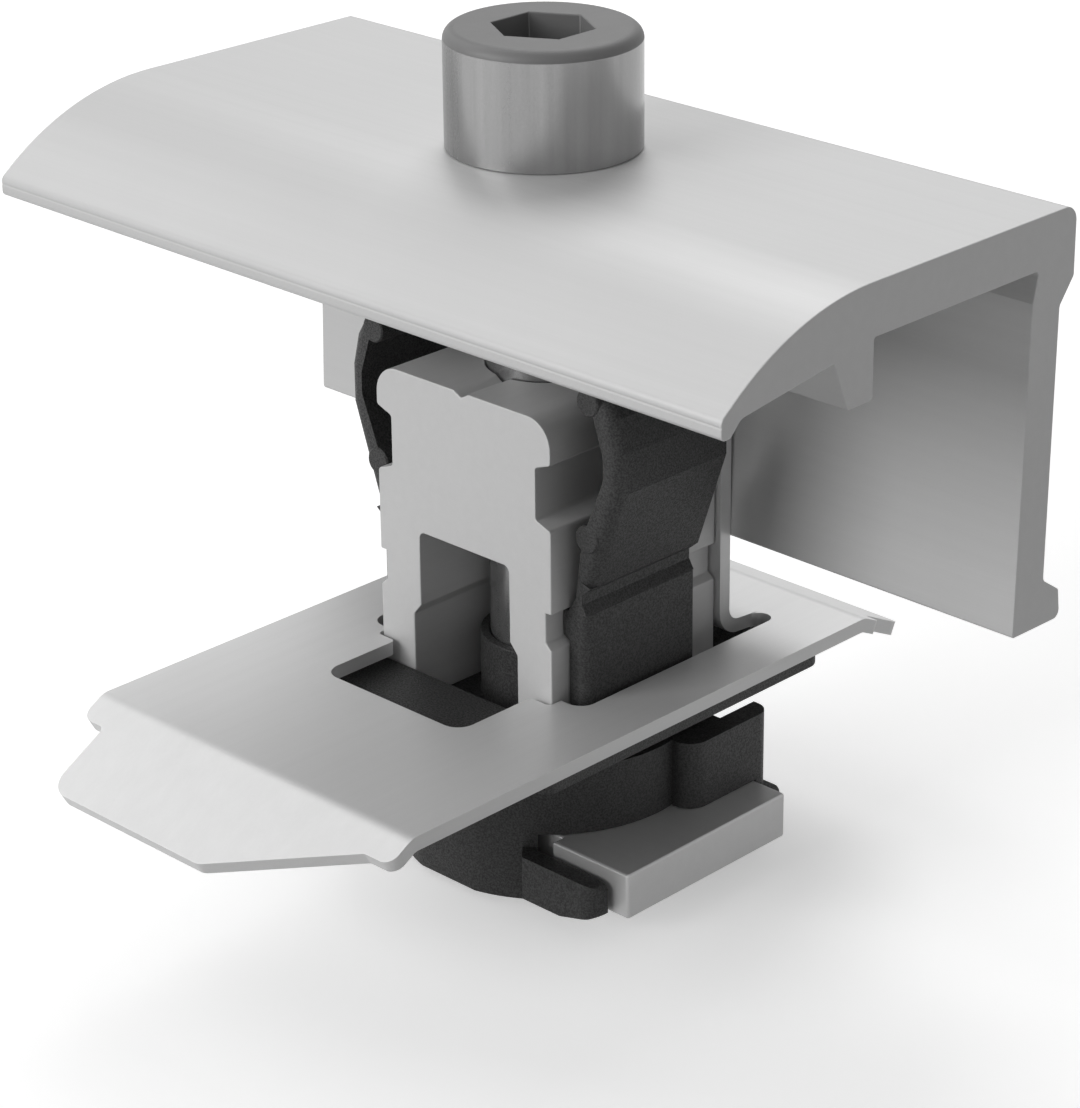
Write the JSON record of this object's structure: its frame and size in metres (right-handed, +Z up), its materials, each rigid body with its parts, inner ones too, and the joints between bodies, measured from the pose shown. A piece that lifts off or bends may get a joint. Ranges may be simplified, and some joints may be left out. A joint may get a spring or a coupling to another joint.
{
  "type": "solar panel end clamp",
  "caption": "End clamp that grips a solar panel frame on a mounting rail: domed lip, screw, spring bows, folded base plate and quarter-turn nut.",
  "frame": {"origin": "on the screw axis, at the top face of the base plate, where the clamp stands in the rail's slot", "axes": "+X along the clamp extrusion and the panel's edge, +Y along the rail away from the panel, +Z up along the screw"},
  "size_m": [0.065, 0.0558, 0.058],
  "materials": {
    "profile_aluminium": "mill finish, drawn along x",
    "block_aluminium": "sawn faces, drawn along y",
    "sheet_steel": "cold rolled stainless sheet",
    "screw_steel": "satin stainless",
    "nut_steel": "satin stainless",
    "black_plastic": "fine eroded mould texture"
  },
  "bodies": {
    "base": {"base_plate": "sheet_steel", "spacer_block": "block_aluminium", "clip_holder": "black_plastic", "left_bow": "black_plastic", "right_bow": "black_plastic"},
    "clamp": {"clamp_profile": "profile_aluminium", "top_cap": "black_plastic"},
    "screw": {"clamp_screw": "screw_steel"},
    "lock": {"nut_carrier": "black_plastic", "slot_nut": "nut_steel"}
  },
  "joints": [
    {"name": "clamp_drop", "type": "slide", "parent": "base", "child": "clamp", "axis": [0, 0, -1], "range_m": [0, 0.004], "deforming": ["left_bow", "right_bow"]},
    {"name": "screw_turn", "type": "hinge", "parent": "clamp", "child": "screw", "pos_m": [0, 0, 0.0347], "axis": [0, 0, -1], "range_deg": [0, 1153]},
    {"name": "lock_turn", "type": "hinge", "parent": "base", "child": "lock", "pos_m": [0, 0, -0.0105], "axis": [0, 0, 1], "range_deg": [0, 90]}
  ],
  "couplings": [
    {"joint": "screw_turn", "follows": "clamp_drop", "rad_per_m": 5026.5}
  ]
}
